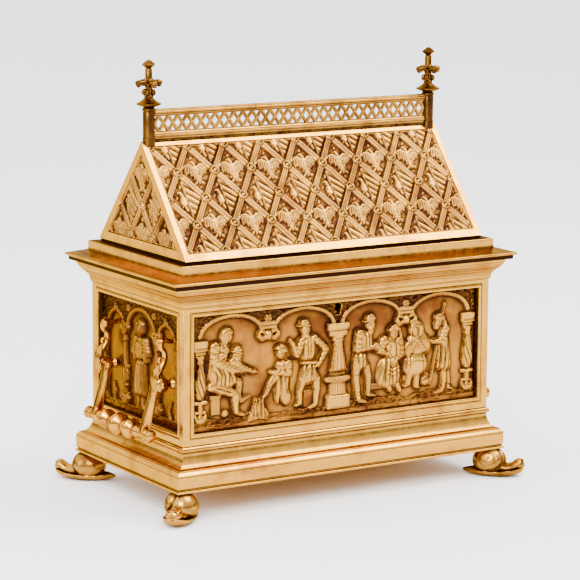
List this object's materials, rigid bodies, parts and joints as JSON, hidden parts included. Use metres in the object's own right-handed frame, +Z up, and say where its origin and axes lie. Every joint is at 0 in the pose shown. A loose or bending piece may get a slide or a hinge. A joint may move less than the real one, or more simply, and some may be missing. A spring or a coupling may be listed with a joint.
{
  "type": "reliquary casket",
  "caption": "House-shaped gilt-brass casket with relief arcades on its walls, a hinged gabled lid with crest and finials, swinging end handles and snail feet.",
  "frame": {"origin": "on the ground, under the middle of the casket", "axes": "+Z up, the long side with the keyhole faces -Y, +X along the ridge"},
  "size_m": [0.2388, 0.1428, 0.2429],
  "materials": {
    "polished_brass": "polished gilt with fine wear",
    "relief_brass": "cast relief, gilt on the high points, dark brown in the recesses",
    "lattice_brass": "fine cast diaper, gilt, brown in the recesses",
    "toned_brass": "toned gilt with bright edges",
    "foot_brass": "cast and burnished, toned in the hollows",
    "handle_brass": "turned and burnished",
    "hinge_brass": "plain satin"
  },
  "bodies": {
    "casket": {"floor_plate": "polished_brass", "plinth": "polished_brass", "body_frame": "polished_brass", "front_relief": "relief_brass", "back_relief": "relief_brass", "left_relief": "relief_brass", "right_relief": "relief_brass", "cornice": "polished_brass", "foot_front_left": "foot_brass", "foot_front_right": "foot_brass", "foot_back_left": "foot_brass", "foot_back_right": "foot_brass", "bracket_left_front": "handle_brass", "bracket_left_back": "handle_brass", "bracket_right_front": "handle_brass", "bracket_right_back": "handle_brass", "hinge_left_box_leaf": "hinge_brass", "hinge_right_box_leaf": "hinge_brass"},
    "lid": {"lid_frame": "polished_brass", "roof_frame": "polished_brass", "roof_front_panel": "lattice_brass", "roof_back_panel": "lattice_brass", "gable_left_panel": "lattice_brass", "gable_right_panel": "lattice_brass", "crest": "toned_brass", "finial_left": "toned_brass", "finial_right": "toned_brass", "hinge_left_lid_leaf": "hinge_brass", "hinge_right_lid_leaf": "hinge_brass"},
    "left_handle": {"left_bail": "handle_brass"},
    "right_handle": {"right_bail": "handle_brass"}
  },
  "joints": [
    {"name": "lid_hinge", "type": "hinge", "parent": "casket", "child": "lid", "pos_m": [0, 0.0608, 0.12645], "axis": [-1, 0, 0], "range_deg": [0, 100]},
    {"name": "left_handle_hinge", "type": "hinge", "parent": "casket", "child": "left_handle", "pos_m": [-0.103, 0, 0.071], "axis": [0, 1, 0], "range_deg": [0, 90]},
    {"name": "right_handle_hinge", "type": "hinge", "parent": "casket", "child": "right_handle", "pos_m": [0.103, 0, 0.071], "axis": [0, -1, 0], "range_deg": [0, 90]}
  ]
}
